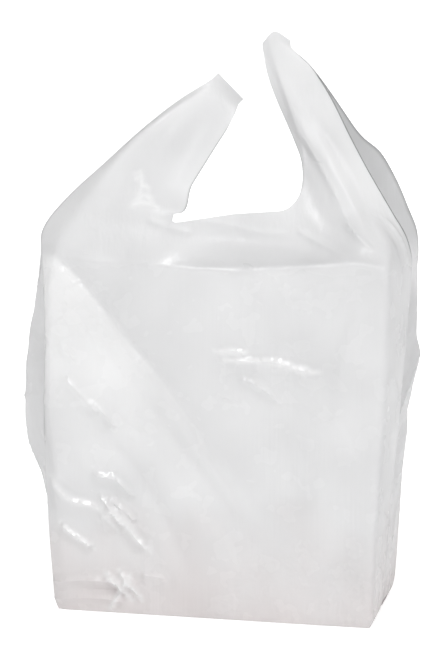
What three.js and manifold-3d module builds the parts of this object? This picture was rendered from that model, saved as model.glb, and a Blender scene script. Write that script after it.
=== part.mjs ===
// A vest carrier bag: one piece of gusseted plastic film, open at the mouth, with two loop handles.
// It stands up, still holding the shape of the box that filled it. Millimetres, +Z up, front towards -Y.
// The origin is the middle of the flat base.
import * as THREE from 'three';
import { mergeVertices } from 'three/addons/utils/BufferGeometryUtils.js';
import Module from 'manifold-3d';

const wasm = await Module();
wasm.setup();

// Driving dimensions. The flat bag has a 330 mm panel and 75 mm gussets, so its tube is 960 mm round. Standing
// up it spreads over a box-like form, with some of its width left slack in the pleats of its sides.
const WALL = 0.75; // wall that stands in for the film
const HALF_WIDTH = 142;
const HALF_DEPTH = 67;
const SHOULDER = 304; // height of the top edge of the box-like part
const TOE = 3; // radius that the foot of the wall turns in over
const SEAL_REACH = 4; // the welded band runs this far each way from the end of the straps
const SEAL_OVERHANG = 1.5; // and this far past the two ends of its line
const SEAL_HALF_THICKNESS = 3.4;
const CREASE_GAP = 2.2; // inside width of a folded crease

// Rows of the film: from the base to the shoulder, on to the mouth, and up the handles to the weld.
const BODY_ROWS = 9;
const CROWN_ROWS = 3;
const WEB_ROWS = 3; // handle rows in which the gusset still joins front and back straps
const STRAP_ROWS = 6; // handle rows above the web
const SHOULDER_ROW = BODY_ROWS;
const MOUTH_ROW = SHOULDER_ROW + CROWN_ROWS;
const WEB_ROW = MOUTH_ROW + WEB_ROWS;
const TOP_ROW = WEB_ROW + STRAP_ROWS;

const W = HALF_WIDTH;
const D = HALF_DEPTH;
const S = SHOULDER;

// The weld at the top of each handle, from its inner end to its outer end, as seen from the front.
const SEALS = {
  left: { y: -5, points: [[9, 437], [-2, 448], [-13, 459]] },
  right: { y: -3, points: [[28, 483], [38, 493], [52, 486]] },
};

// Rails run up the film along its creases, box edges and cut edges. Each one is given from the base to
// the shoulder, from the shoulder to the mouth, and from the mouth to the end of the web and the weld.
const RAILS = {
  frontLeftCrease: {
    body: [[-W, -D + 1, 0], [-W - 6, -D + 3, 80], [-W - 9, -D + 5, 160], [-W - 9, -D + 10, 240],
      [-W - 11, -D + 13, S]],
    crown: [[-W - 11, -D + 13, S], [-W - 15, -43, 327], [-149, -38, 342]],
    web: [[-149, -38, 342], [-129, -35, 363], [-108, -31, 382]],
    strap: [[-108, -31, 382], [-68, -20, 419], [-37, -12, 443]],
  },
  frontMouthLeft: {
    body: [[-52, -D - 1, 0], [-52, -D - 4, 150], [-52, -D, S - 1]],
    crown: [[-52, -D, S - 1], [-51, -63.5, 317], [-46, -54, 337]],
    web: [[-46, -54, 337], [-44, -52.5, 344], [-29, -49, 346], [-27, -47, 354], [-27, -42, 366]],
    strap: [[-27, -42, 366], [-9, -25, 399], [4, -12, 424]],
  },
  frontLeftLean: {
    body: [[-132, -D - 1, 0], [-136, -D - 5, 90], [-143, -D - 10, 180], [-144, -D - 7, 230],
      [-143, -D - 3, 270], [-140, -D + 1, S + 1]],
    crown: [[-140, -D + 1, S + 1], [-137, -60, 324], [-124, -54, 342]],
    web: [[-124, -54, 342], [-108, -48, 366], [-92, -42, 389]],
    strap: [[-92, -42, 389], [-78, -37, 406], [-58, -30, 423], [-34, -18, 440]],
    seal: 0.86,
  },
  frontMiddle: {
    body: [[19, -D - 1, 0], [19, -D - 3, 160], [19, -D, S - 3]],
    crown: [[19, -D, S - 3], [17, -50, 311], [14, -37, 326], [10, -33, 345]],
  },
  frontMouthRight: {
    body: [[91, -D - 1, 0], [91, -D - 2, 160], [91, -D, S + 3]],
    crown: [[91, -D, S + 3], [82, -50, 318], [60, -32, 349]],
    web: [[60, -32, 349], [66, -24, 368], [65, -18, 390]],
    strap: [[65, -18, 390], [52, -11, 417], [40, -8, 442], [31, -5, 466]],
  },
  frontRightLean: {
    crown: [[114, -D, S + 2], [122, -55, 322], [114, -37, 350]],
    web: [[114, -37, 350], [102, -33, 369], [89, -28, 387]],
    strap: [[89, -28, 387], [67, -22, 416], [52, -15, 443], [40, -8, 468]],
    seal: 0.24,
  },
  frontRightEdge: {
    body: [[W - 6, -D, 0], [W - 2, -D, 120], [W + 4, -D + 1, 235], [W + 5, -D + 2, S]],
    crown: [[W + 5, -D + 2, S], [145, -50, 320], [128, -31, 345]],
  },
  frontRightCrease: {
    body: [[W - 6, -20, 0], [W, -12, 90], [W + 9, -8, 200], [W + 14, 12, S]],
    crown: [[W + 14, 12, S], [151, 1, 327], [143, -8, 343]],
    web: [[143, -8, 343], [135, -13, 358], [120, -16, 384]],
    strap: [[120, -16, 384], [105, -14, 411], [84, -9, 449], [66, -6, 472]],
  },
  rightFold: {
    body: [[W - 8, 12, 0], [W - 4, 18, 90], [W - 8, 26, 200], [W - 8, 36, S]],
    crown: [[W - 8, 36, S], [124, 28, 320], [112, 22, 332]],
    web: [[112, 22, 332], [95, 16, 342], [78, 12, 352]],
    frontStrap: [[78, 12, 352], [66, -5, 396], [50, -4, 428], [38, -3.4, 462]],
    backStrap: [[78, 12, 352], [68, 13, 396], [52, 8, 428], [38, 1, 462]],
  },
  rightPleat: {
    body: [[W - 6, D - 20, 0], [W, D - 18, 90], [W + 14, D - 14, 230], [W + 12, D - 10, S]],
    crown: [[W + 12, D - 10, S], [140, 48, 324], [128, 42, 338]],
  },
  backRightCrease: {
    body: [[W - 6, D - 4, 0], [W - 1, D - 3, 90], [W + 6, D - 2, 230], [W + 12, D - 2, S]],
    crown: [[W + 12, D - 2, S], [152, 63, 325], [145, 60, 343]],
    web: [[145, 60, 343], [137, 56, 364], [122, 47, 394]],
    strap: [[122, 47, 394], [108, 35, 406], [94, 24, 428], [78, 15, 453], [63, 7, 473]],
  },
  backMouthRight: {
    body: [[70, D, 0], [72, D + 3, 160], [72, D, S]],
    crown: [[72, D, S], [70, 40, 316], [66, 18, 322]],
    web: [[66, 18, 322], [72, 24, 348], [70, 26, 378]],
    strap: [[70, 26, 378], [58, 20, 412], [46, 12, 440], [35, 4, 466]],
  },
  backMiddle: {
    body: [[0, D, 0], [0, D + 4, 160], [0, D, S - 2]],
    crown: [[0, D, S - 2], [4, 40, 310], [6, 14, 318]],
  },
  backMouthLeft: {
    body: [[-70, D, 0], [-72, D + 3, 160], [-72, D, S]],
    crown: [[-72, D, S], [-68, 40, 314], [-62, 18, 322]],
    web: [[-62, 18, 322], [-54, 20, 340], [-41, 18, 362]],
    strap: [[-41, 18, 362], [-21, 12, 396], [0, 4, 424]],
  },
  backLeftCrease: {
    body: [[-W, D - 4, 0], [-W - 4, D - 4, 90], [-W - 8, D - 5, 200], [-W - 6, D - 6, S]],
    crown: [[-W - 6, D - 6, S], [-147, 52, 326], [-139, 46, 342]],
    web: [[-139, 46, 342], [-125, 40, 360], [-106, 32, 378]],
    strap: [[-106, 32, 378], [-66, 20, 416], [-36, 8, 441]],
  },
  leftPleat: {
    body: [[-W - 2, 26, 0], [-W - 4, 26, 90], [-W - 24, 26, 190], [-W - 14, 24, S]],
    crown: [[-W - 14, 24, S], [-144, 24, 322], [-124, 22, 336]],
  },
  leftFold: {
    body: [[-W - 2, -6, 0], [-W, -6, 90], [-W + 4, -6, 190], [-W + 4, -6, S]],
    crown: [[-W + 4, -6, S], [-122, -4, 318], [-108, -4, 326]],
    web: [[-108, -4, 326], [-86, -4, 334], [-62, -4, 342]],
    frontStrap: [[-62, -4, 342], [-36, -13, 374], [-14, -8, 404], [4, -5.4, 428]],
    backStrap: [[-62, -4, 342], [-40, 4, 370], [-16, 2, 402], [4, -2, 427]],
  },
  leftBulge: {
    body: [[-W - 4, -45, 0], [-W - 7, -45, 70], [-W - 16, -45, 102], [-W - 30, -45, 145],
      [-W - 29, -45, 235], [-W - 17, -45, 280], [-W - 17, -45, S]],
    crown: [[-W - 17, -45, S], [-157, -38, 324], [-136, -33, 342]],
  },
};

// Stations round the film, anticlockwise from above, each with the number of steps to the next one.
// A doubled crease keeps room inside its fold. A rail without a handle part is passed over up there.
const STATIONS = [
  { rail: 'frontMouthLeft', steps: 3 },
  { rail: 'frontMiddle', steps: 3 },
  { rail: 'frontMouthRight', steps: 1 },
  { rail: 'frontRightLean', steps: 1 },
  { rail: 'frontRightEdge', steps: 2 },
  { rail: 'frontRightCrease', steps: 1 },
  { rail: 'frontRightCrease', steps: 3, gap: CREASE_GAP },
  { rail: 'rightFold', steps: 2 },
  { rail: 'rightPleat', steps: 1 },
  { rail: 'backRightCrease', steps: 1, gap: -CREASE_GAP },
  { rail: 'backRightCrease', steps: 4 },
  { rail: 'backMouthRight', steps: 3 },
  { rail: 'backMiddle', steps: 3 },
  { rail: 'backMouthLeft', steps: 4 },
  { rail: 'backLeftCrease', steps: 1 },
  { rail: 'backLeftCrease', steps: 1, gap: -CREASE_GAP },
  { rail: 'leftPleat', steps: 2 },
  { rail: 'leftFold', steps: 1 },
  { rail: 'leftBulge', steps: 2 },
  { rail: 'frontLeftCrease', steps: 1, gap: CREASE_GAP },
  { rail: 'frontLeftCrease', steps: 1 },
  { rail: 'frontLeftLean', steps: 3 },
];

// Where each station falls in the ring of columns.
let columnCount = 0;
for (const station of STATIONS) {
  station.column = columnCount;
  columnCount += station.steps;
}

const columnOf = (name) => STATIONS.find((station) => station.rail === name).column;

// The two handles as runs of columns. In ring order the right one meets its front strap first and the
// left one its back strap first. The two depths place a handle's four layers through its weld.
const LAYER_OUTSIDE = 2.6;
const LAYER_INSIDE = LAYER_OUTSIDE - CREASE_GAP;
const HANDLES = [
  {
    seal: SEALS.right,
    first: columnOf('frontMouthRight'),
    fold: columnOf('rightFold'),
    last: columnOf('backMouthRight'),
    sides: ['front', 'back'],
  },
  {
    seal: SEALS.left,
    first: columnOf('backMouthLeft'),
    fold: columnOf('leftFold'),
    last: columnCount,
    sides: ['back', 'front'],
  },
];

const handleAt = (column) => HANDLES.find((handle) => column >= handle.first && column <= handle.last);

// Height of a body row: a toe row just above the base, then even steps up to the shoulder.
function bodyFraction(row) {
  if (row === 0) return 0;
  const toe = TOE / SHOULDER;
  return toe + ((1 - toe) * (row - 1)) / (BODY_ROWS - 1);
}

// The stretch of rail that a row lies on, and how far along it.
function zoneOf(row) {
  if (row <= SHOULDER_ROW) return ['body', bodyFraction(row)];
  if (row <= MOUTH_ROW) return ['crown', (row - SHOULDER_ROW) / CROWN_ROWS];
  if (row <= WEB_ROW) return ['web', (row - MOUTH_ROW) / WEB_ROWS];
  return ['strap', (row - WEB_ROW) / STRAP_ROWS];
}

const toVector = ([x, y, z]) => new THREE.Vector3(x, y, z);

// A point on the curved line of a weld, from its inner end (0) to its outer end (1).
function sealPoint(seal, fraction, layer) {
  const curve = new THREE.CatmullRomCurve3(seal.points.map(([x, z]) => new THREE.Vector3(x, 0, z)));
  const point = curve.getPointAt(fraction);
  point.y = seal.y + layer;
  return point;
}

const sealEnd = (station) => RAILS[station.rail].seal ?? Number(station.rail.includes('Crease'));

// Where a station's layer sits through the thickness of the weld.
function layerOf(station, side) {
  const isOutside = /Mouth|Lean/.test(station.rail) || (station.rail.includes('Crease') && !station.gap);
  const depth = isOutside ? LAYER_OUTSIDE : LAYER_INSIDE;
  return side === 'front' ? -depth : depth;
}

// A station's point in a row. `side` tells the front strap from the back one above the web.
function stationPoint(station, row, side) {
  const rail = RAILS[station.rail];
  const [zone, fraction] = zoneOf(row);
  const stretch = zone === 'strap' ? rail.strap ?? rail[`${side}Strap`] : rail[zone];
  const points = stretch.map(toVector);
  if (station.gap) points.forEach((point) => { point.y += station.gap; });
  if (zone === 'strap') {
    const { seal } = handleAt(station.column);
    points.push(sealPoint(seal, sealEnd(station), layerOf(station, side)));
  }
  return new THREE.CatmullRomCurve3(points).getPointAt(fraction);
}

// The stations either side of a column, among those whose rail reaches the row.
const RING = [...STATIONS, { ...STATIONS[0], column: columnCount }];

function neighbours(column, row) {
  const zone = zoneOf(row)[0];
  const reaching = RING.filter(({ rail }) => RAILS[rail][zone === 'strap' ? 'web' : zone]);
  const before = reaching.findLast((station) => station.column <= column);
  const after = reaching.find((station) => station.column >= column);
  return [before, after];
}

// A point of the film by column and row.
function filmPoint(column, row, side) {
  const [before, after] = neighbours(column, row);
  const point = stationPoint(before, row, side);
  if (after !== before) {
    const across = (column - before.column) / (after.column - before.column);
    point.lerp(stationPoint(after, row, side), across);
    if (row > WEB_ROW) point.add(sealCurl(before, after, across, row));
  }
  if (row === 0) {
    point.x *= (HALF_WIDTH - TOE) / HALF_WIDTH;
    point.y *= (HALF_DEPTH - TOE) / HALF_DEPTH;
  }
  return point;
}

// How far the curved weld draws a strap out of the straight line between its two edges.
function sealCurl(before, after, across, row) {
  const { seal } = handleAt(before.column);
  const fraction = THREE.MathUtils.lerp(sealEnd(before), sealEnd(after), across);
  const chord = sealPoint(seal, 0, 0).lerp(sealPoint(seal, 1, 0), fraction);
  const share = (row - WEB_ROW) / STRAP_ROWS;
  return sealPoint(seal, fraction, 0).sub(chord).multiplyScalar(share ** 2);
}

// The film as a sheet: one vertex for each row and column, two where a gusset has parted above its web.
class Sheet {
  constructor() {
    this.points = [];
    this.triangles = [];
    this.indexOf = new Map();
  }

  vertex(column, row, side) {
    const handle = row > WEB_ROW && handleAt(column);
    const parted = handle && column === handle.fold;
    const key = `${column % columnCount},${row},${parted ? side : ''}`;
    if (!this.indexOf.has(key)) {
      this.indexOf.set(key, this.points.length);
      this.points.push(filmPoint(column, row, side));
    }
    return this.indexOf.get(key);
  }

  // The cell above a row and to the right of a column.
  cell(column, row, side) {
    const a = this.vertex(column, row, side);
    const b = this.vertex(column + 1, row, side);
    const c = this.vertex(column + 1, row + 1, side);
    const d = this.vertex(column, row + 1, side);
    this.triangles.push([a, b, c], [a, c, d]);
  }
}

// The tube of film from the base to the mouth.
function addTube(sheet) {
  for (let row = 0; row < MOUTH_ROW; row += 1) {
    for (let column = 0; column < columnCount; column += 1) sheet.cell(column, row);
  }
}

// A handle's front and back straps, joined by the gusset as far as the web reaches.
function addStraps(sheet, { first, fold, last, sides }) {
  for (let row = MOUTH_ROW; row < TOP_ROW; row += 1) {
    for (let column = first; column < last; column += 1) {
      sheet.cell(column, row, column < fold ? sides[0] : sides[1]);
    }
  }
}

// The corners of the cut-out are rounded: a small triangle fills each one.
function addMouthCorners(sheet) {
  for (const { first, last, sides } of HANDLES) {
    const row = MOUTH_ROW;
    const start = sheet.vertex(first, row, sides[0]);
    const startUp = sheet.vertex(first, row + 1, sides[0]);
    sheet.triangles.push([sheet.vertex(first - 1, row), start, startUp]);
    const end = sheet.vertex(last, row, sides[1]);
    const endUp = sheet.vertex(last, row + 1, sides[1]);
    sheet.triangles.push([end, sheet.vertex(last + 1, row), endUp]);
  }
}

// The flat base that closes the foot of the tube.
function addBase(sheet) {
  const ring = [];
  for (let column = 0; column < columnCount; column += 1) ring.push(sheet.vertex(column, 0));
  const outline = ring.map((index) => new THREE.Vector2(sheet.points[index].x, sheet.points[index].y));
  for (const [a, b, c] of THREE.ShapeUtils.triangulateShape(outline, [])) {
    sheet.triangles.push([ring[a], ring[c], ring[b]]);
  }
}

// Inward normals, averaged over the triangles round each vertex.
function inwardNormals({ points, triangles }) {
  const normals = points.map(() => new THREE.Vector3());
  for (const [a, b, c] of triangles) {
    const ab = points[b].clone().sub(points[a]);
    const ac = points[c].clone().sub(points[a]);
    const inward = ac.cross(ab);
    for (const index of [a, b, c]) normals[index].add(inward);
  }
  return normals.map((normal) => normal.normalize());
}

// Edges that only one triangle has, in that triangle's direction.
function rimEdges(triangles) {
  const edges = new Map();
  for (const [a, b, c] of triangles) {
    for (const [from, to] of [[a, b], [b, c], [c, a]]) edges.set(`${from},${to}`, [from, to]);
  }
  return [...edges.values()].filter(([from, to]) => !edges.has(`${to},${from}`));
}

// A closed solid from the sheet: its outside, an inside one wall thickness in, and a rim at cut edges.
function thicken(sheet) {
  const count = sheet.points.length;
  const normals = inwardNormals(sheet);
  const inside = sheet.points.map((point, index) => point.clone().addScaledVector(normals[index], WALL));
  const triangles = [...sheet.triangles];
  for (const [a, b, c] of sheet.triangles) triangles.push([a + count, c + count, b + count]);
  for (const [a, b] of rimEdges(sheet.triangles)) {
    triangles.push([b, a, a + count], [b, a + count, b + count]);
  }
  const coordinates = [...sheet.points, ...inside].flatMap((point) => point.toArray());
  return new wasm.Manifold(new wasm.Mesh({
    numProp: 3,
    vertProperties: new Float32Array(coordinates),
    triVerts: new Uint32Array(triangles.flat()),
  }));
}

// The welded band at the top of a handle, which joins its four layers.
function sealBand({ y, points }) {
  const line = new THREE.SplineCurve(points.map(([x, z]) => new THREE.Vector2(x, z)));
  const lower = [];
  const upper = [];
  for (let step = 0; step <= 6; step += 1) {
    const point = line.getPointAt(step / 6);
    const tangent = line.getTangentAt(step / 6);
    const end = step === 0 ? -1 : Number(step === 6);
    const across = new THREE.Vector2(-tangent.y, tangent.x).multiplyScalar(SEAL_REACH);
    const centre = point.addScaledVector(tangent, end * SEAL_OVERHANG);
    lower.push(centre.clone().sub(across));
    upper.unshift(centre.clone().add(across));
  }
  const shape = new THREE.Shape([...lower, ...upper]);
  const band = new THREE.ExtrudeGeometry(shape, { depth: 2 * SEAL_HALF_THICKNESS, bevelEnabled: false });
  band.rotateX(Math.PI / 2);
  band.translate(0, y + SEAL_HALF_THICKNESS, 0);
  return toManifold(band);
}

// A closed three.js geometry as a solid.
function toManifold(geometry) {
  geometry.deleteAttribute('normal');
  geometry.deleteAttribute('uv');
  const merged = mergeVertices(geometry, 1e-4);
  return new wasm.Manifold(new wasm.Mesh({
    numProp: 3,
    vertProperties: merged.attributes.position.array,
    triVerts: new Uint32Array(merged.index.array),
  }));
}

// A solid as a three.js geometry.
function toGeometry(solid) {
  const mesh = solid.getMesh();
  const geometry = new THREE.BufferGeometry();
  geometry.setAttribute('position', new THREE.BufferAttribute(mesh.vertProperties, 3));
  geometry.setIndex(new THREE.BufferAttribute(mesh.triVerts, 1));
  geometry.computeVertexNormals();
  return geometry;
}

function carrierBag() {
  const sheet = new Sheet();
  addTube(sheet);
  HANDLES.forEach((handle) => addStraps(sheet, handle));
  addMouthCorners(sheet);
  addBase(sheet);
  let solid = thicken(sheet);
  for (const seal of Object.values(SEALS)) solid = solid.add(sealBand(seal));
  const film = new THREE.MeshStandardMaterial({ color: 0xe6e4e3, roughness: 0.35, metalness: 0 });
  const bag = new THREE.Mesh(toGeometry(solid), film);
  bag.name = 'carrier_bag';
  return bag;
}

const model = new THREE.Group();
model.add(carrierBag());

export default model;
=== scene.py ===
"""A vest carrier bag of thin white film, standing open in the shape of the box that filled it.

The film is one sheet, laid out by station round the bag and by row up it, and given its folds, creases and
crinkles in millimetres. It becomes one thin closed mesh in metres, in the frame of the CAD model.
"""
import math

import bmesh
import bpy
import numpy as np
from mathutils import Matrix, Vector, geometry
from mathutils.bvhtree import BVHTree


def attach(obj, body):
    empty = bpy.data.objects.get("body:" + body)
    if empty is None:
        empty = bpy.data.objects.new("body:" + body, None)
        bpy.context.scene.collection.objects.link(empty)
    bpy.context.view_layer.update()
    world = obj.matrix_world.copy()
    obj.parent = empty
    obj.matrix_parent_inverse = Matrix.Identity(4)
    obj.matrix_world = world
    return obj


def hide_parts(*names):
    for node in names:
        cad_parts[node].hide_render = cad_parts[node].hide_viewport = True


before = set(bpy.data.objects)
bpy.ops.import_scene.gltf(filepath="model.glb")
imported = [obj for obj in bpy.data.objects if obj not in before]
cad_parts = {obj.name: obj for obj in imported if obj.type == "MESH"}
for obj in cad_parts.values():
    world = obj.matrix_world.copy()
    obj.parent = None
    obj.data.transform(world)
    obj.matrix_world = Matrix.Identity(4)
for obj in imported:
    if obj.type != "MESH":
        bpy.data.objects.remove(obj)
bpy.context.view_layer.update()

MM = 0.001
RANDOM = np.random.default_rng(7)

# The light: the brightness of the sky, of the floor's own glow and of three suns, and the floor's size.
SKY_LEVEL = 0.40
SKY_TILT = 0.10
FLOOR_GLOW = 0.38
KEY_POWER = 1.42
RAKE_POWER = 1.02
BACK_POWER = 0.65
FLOOR_SIZE = 90.0  # metres
FLOOR_DROP = 0.0005  # metres below the bag

# The camera: its lens is in millimetres, its turn and lift in degrees, and its distance and aim in metres.
LENS = 126.6
SHIFT_X, SHIFT_Y = -0.0117, -0.0154  # shares of the view
TURN, LIFT = 12.3, 9.2
DISTANCE = 2.0
AIM_HEIGHT = 0.25

# The filled form, in millimetres.
HALF_WIDTH = 142.0
HALF_DEPTH = 67.0
SHOULDER = 304.0  # height of the front top edge of the box-like part
TOE = 2.5  # the foot of the wall turns in this far
FILM = 0.16  # thickness of the film as modelled
FOLD_GAP = 1.2  # inside width of a pressed crease
BASE_LIFT = 0.3  # how far the film of the base clears the floor inside the foot
WELD_REACH = 4.0  # a weld runs this far each way from its middle line
WELD_PITCH = 0.3  # spacing of the four layers in a weld
CORNER_RADIUS = 9.0  # of the cut where the mouth meets a handle

# The mesh: its spacing round the film in millimetres, its rows up the film, and how creases are treated.
FRONT_STEP = 3.0
SIDE_STEP = 4.0
BACK_STEP = 5.2
BODY_ROWS = 84
CROWN_ROWS = 18
WEB_ROWS = 13
STRAP_ROWS = 34
WELD_ROWS = 4
BASE_ROWS = 6
BASE_REACH = 0.985  # share of the half-depth that each flap of the base covers
SMOOTH_PASSES = 6
FINE_REACH = 4.5  # the mesh is twice as fine this near a sharp crest
SNAP = 0.9  # film this near a sharp crest is drawn on to it
SHARP_ANGLE = 36.0  # creases that bend more than this, in degrees, are shaded crisp

W, D, S = HALF_WIDTH, HALF_DEPTH, SHOULDER

# Lengths of film up the bag, above the shoulder.
CROWN_LENGTH = 40.0
WEB_LENGTH = 38.0
STRAP_LENGTH = 100.0
STRAP_TOP = SHOULDER + CROWN_LENGTH + WEB_LENGTH + STRAP_LENGTH

# Round the bag, film is measured anticlockwise from above, from the middle of the front.
ROUND = 960.0
FRONT_RIGHT, FRONT_LEFT = 165.0, 795.0
CREASES = (FRONT_RIGHT, 315.0, 645.0, FRONT_LEFT)  # the four that are pressed into the film
LEFT_CUT, RIGHT_CUT = -70.0, 70.0  # the front's ends of the two handles' cut edges
RIGHT_MIDDLE, BACK_MIDDLE, LEFT_MIDDLE = 240.0, 480.0, 720.0  # of the right gusset, the back, the left gusset

# Rails run up the film along its creases, box edges and cut edges: over the body, then over the shoulder to
# the mouth, up the handle as far as the gusset's web reaches, and on up the strap to the weld. Each stretch
# starts where the one below it ends. "weld" is how far across the weld a rail meets it, from its inner end.
RAILS = {
    "front_left_crease": {
        "body": [(-W, -D + 1, 0), (-W - 6, -D + 3, 80), (-W - 9, -D + 5, 160), (-W - 9, -D + 10, 240),
                 (-W - 11, -D + 13, S)],
        "crown": [(-W - 15, -43, 327), (-149, -38, 342)],
        "web": [(-129, -35, 363), (-108, -31, 382)],
        "strap": [(-68, -20, 419), (-37, -12, 443)],
    },
    "front_mouth_left": {
        "body": [(-52, -D - 1, 0), (-52, -D - 4, 150), (-52, -D, S - 1)],
        "crown": [(-51, -63.5, 317), (-46, -54, 337)],
        "web": [(-44, -52.5, 344), (-29, -49, 346), (-27, -47, 354), (-27, -42, 366)],
        "strap": [(-9, -25, 399), (4, -12, 424)],
    },
    "front_left_lean": {
        "body": [(-132, -D - 1, 0), (-136, -D - 5, 90), (-143, -D - 10, 180), (-144, -D - 7, 230),
                 (-143, -D - 3, 270), (-140, -D + 1, S + 1)],
        "crown": [(-137, -60, 324), (-124, -54, 342)],
        "web": [(-108, -48, 366), (-92, -42, 389)],
        "strap": [(-78, -37, 406), (-58, -30, 423), (-34, -18, 440)],
        "weld": 0.86,
    },
    "front_middle": {
        "body": [(19, -D - 1, 0), (19, -D - 3, 160), (19, -D, S - 3)],
        "crown": [(17, -50, 311), (14, -37, 326), (10, -33, 345)],
    },
    "front_mouth_right": {
        "body": [(91, -D - 1, 0), (91, -D - 2, 160), (91, -D, S + 3)],
        "crown": [(82, -50, 318), (60, -32, 349)],
        "web": [(66, -24, 368), (65, -18, 390)],
        "strap": [(52, -11, 417), (40, -8, 442), (31, -5, 466)],
    },
    "front_right_lean": {
        "crown": [(114, -D, S + 2), (122, -55, 322), (114, -37, 350)],
        "web": [(102, -33, 369), (89, -28, 387)],
        "strap": [(67, -22, 416), (52, -15, 443), (40, -8, 468)],
        "weld": 0.24,
    },
    "front_right_edge": {
        "body": [(W - 6, -D, 0), (W - 2, -D, 120), (W + 4, -D + 1, 235), (W + 5, -D + 2, S)],
        "crown": [(145, -50, 320), (128, -31, 345)],
    },
    "front_right_crease": {
        "body": [(W - 6, -20, 0), (W, -12, 90), (W + 9, -8, 200), (W + 14, 12, S)],
        "crown": [(151, 1, 327), (143, -8, 343)],
        "web": [(135, -13, 358), (120, -16, 384)],
        "strap": [(105, -14, 411), (84, -9, 449), (66, -6, 472)],
    },
    "right_fold": {
        "body": [(W - 8, 12, 0), (W - 4, 18, 90), (W - 8, 26, 200), (W - 8, 36, S)],
        "crown": [(124, 28, 320), (112, 22, 332)],
        "web": [(95, 16, 342), (78, 12, 352)],
        "front_strap": [(66, -5, 396), (50, -4, 428), (38, -3.4, 462)],
        "back_strap": [(68, 13, 396), (52, 8, 428), (38, 1, 462)],
    },
    "right_pleat": {
        "body": [(W - 6, D - 20, 0), (W, D - 18, 90), (W + 14, D - 14, 230), (W + 12, D - 10, S)],
        "crown": [(140, 48, 324), (128, 42, 338)],
    },
    "back_right_crease": {
        "body": [(W - 6, D - 4, 0), (W - 1, D - 3, 90), (W + 6, D - 2, 230), (W + 12, D - 2, S)],
        "crown": [(152, 63, 325), (145, 60, 343)],
        "web": [(137, 56, 364), (122, 47, 394)],
        "strap": [(108, 35, 406), (94, 24, 428), (78, 15, 453), (63, 7, 473)],
    },
    "back_mouth_right": {
        "body": [(70, D, 0), (72, D + 3, 160), (72, D, S)],
        "crown": [(70, 40, 316), (66, 18, 322)],
        "web": [(72, 24, 348), (70, 26, 378)],
        "strap": [(58, 20, 412), (46, 12, 440), (35, 4, 466)],
    },
    "back_middle": {
        "body": [(0, D, 0), (0, D + 4, 160), (0, D, S - 2)],
        "crown": [(4, 40, 310), (6, 14, 318)],
    },
    "back_mouth_left": {
        "body": [(-70, D, 0), (-72, D + 3, 160), (-72, D, S)],
        "crown": [(-68, 40, 314), (-62, 18, 322)],
        "web": [(-54, 20, 340), (-41, 18, 362)],
        "strap": [(-21, 12, 396), (0, 4, 424)],
    },
    "back_left_crease": {
        "body": [(-W, D - 4, 0), (-W - 4, D - 4, 90), (-W - 8, D - 5, 200), (-W - 6, D - 6, S)],
        "crown": [(-147, 52, 326), (-139, 46, 342)],
        "web": [(-125, 40, 360), (-106, 32, 378)],
        "strap": [(-66, 20, 416), (-36, 8, 441)],
    },
    "left_pleat": {
        "body": [(-W - 2, 26, 0), (-W - 4, 26, 90), (-W - 24, 26, 190), (-W - 14, 24, S)],
        "crown": [(-144, 24, 322), (-124, 22, 336)],
    },
    "left_fold": {
        "body": [(-W - 2, -6, 0), (-W, -6, 90), (-W + 4, -6, 190), (-W + 4, -6, S)],
        "crown": [(-122, -4, 318), (-108, -4, 326)],
        "web": [(-86, -4, 334), (-62, -4, 342)],
        "front_strap": [(-36, -13, 374), (-14, -8, 404), (4, -5.4, 428)],
        "back_strap": [(-40, 4, 370), (-16, 2, 402), (4, -2, 427)],
    },
    "left_bulge": {
        "body": [(-W - 4, -45, 0), (-W - 7, -45, 70), (-W - 16, -45, 102), (-W - 30, -45, 145),
                 (-W - 29, -45, 235), (-W - 17, -45, 280), (-W - 17, -45, S)],
        "crown": [(-157, -38, 324), (-136, -33, 342)],
    },
}

# The middle line of the weld at the top of each handle, from its inner end to its outer end, in X and Z.
WELDS = {
    "left": {"y": -5.0, "line": [(9, 437), (-2, 448), (-13, 459)]},
    "right": {"y": -3.0, "line": [(28, 483), (38, 493), (52, 486)]},
}

# Stations round the film, anticlockwise from above: the rail, how far round the film it is, and how far it
# is set off in Y where a pressed crease is doubled.
STATIONS = [
    ("front_mouth_left", -70, 0),
    ("front_middle", 0, 0),
    ("front_mouth_right", 70, 0),
    ("front_right_lean", 96, 0),
    ("front_right_edge", 130, 0),
    ("front_right_crease", 164.5, 0),
    ("front_right_crease", 165.5, FOLD_GAP),
    ("right_fold", 240, 0),
    ("right_pleat", 290, 0),
    ("back_right_crease", 314.5, -FOLD_GAP),
    ("back_right_crease", 315.5, 0),
    ("back_mouth_right", 410, 0),
    ("back_middle", 480, 0),
    ("back_mouth_left", 550, 0),
    ("back_left_crease", 644.5, 0),
    ("back_left_crease", 645.5, -FOLD_GAP),
    ("left_pleat", 677, 0),
    ("left_fold", 720, 0),
    ("left_bulge", 752, 0),
    ("front_left_crease", 794.5, FOLD_GAP),
    ("front_left_crease", 795.5, 0),
    ("front_left_lean", 812, 0),
    ("front_mouth_left", 890, 0),
]


def add_object(name, data):
    """A new object in the scene."""
    made = bpy.data.objects.new(name, data)
    bpy.context.scene.collection.objects.link(made)
    return made


def spline(points, fractions):
    """Points along a smooth curve through the given ones, by fraction of its length."""
    points = np.array(points, float)
    lengths = np.linalg.norm(np.diff(points, axis=0), axis=1)
    knots = np.concatenate([[0.0], np.cumsum(lengths)])
    tangents = np.gradient(points, knots, axis=0)
    at = np.asarray(fractions) * knots[-1]
    i = np.clip(np.searchsorted(knots, at, side="right") - 1, 0, len(lengths) - 1)
    span = lengths[i][:, None]
    u = (at - knots[i])[:, None] / span
    return (
        (2 * u**3 - 3 * u**2 + 1) * points[i]
        + (u**3 - 2 * u**2 + u) * span * tangents[i]
        + (3 * u**2 - 2 * u**3) * points[i + 1]
        + (u**3 - u**2) * span * tangents[i + 1]
    )


# ---------- the film as a sheet

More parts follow.
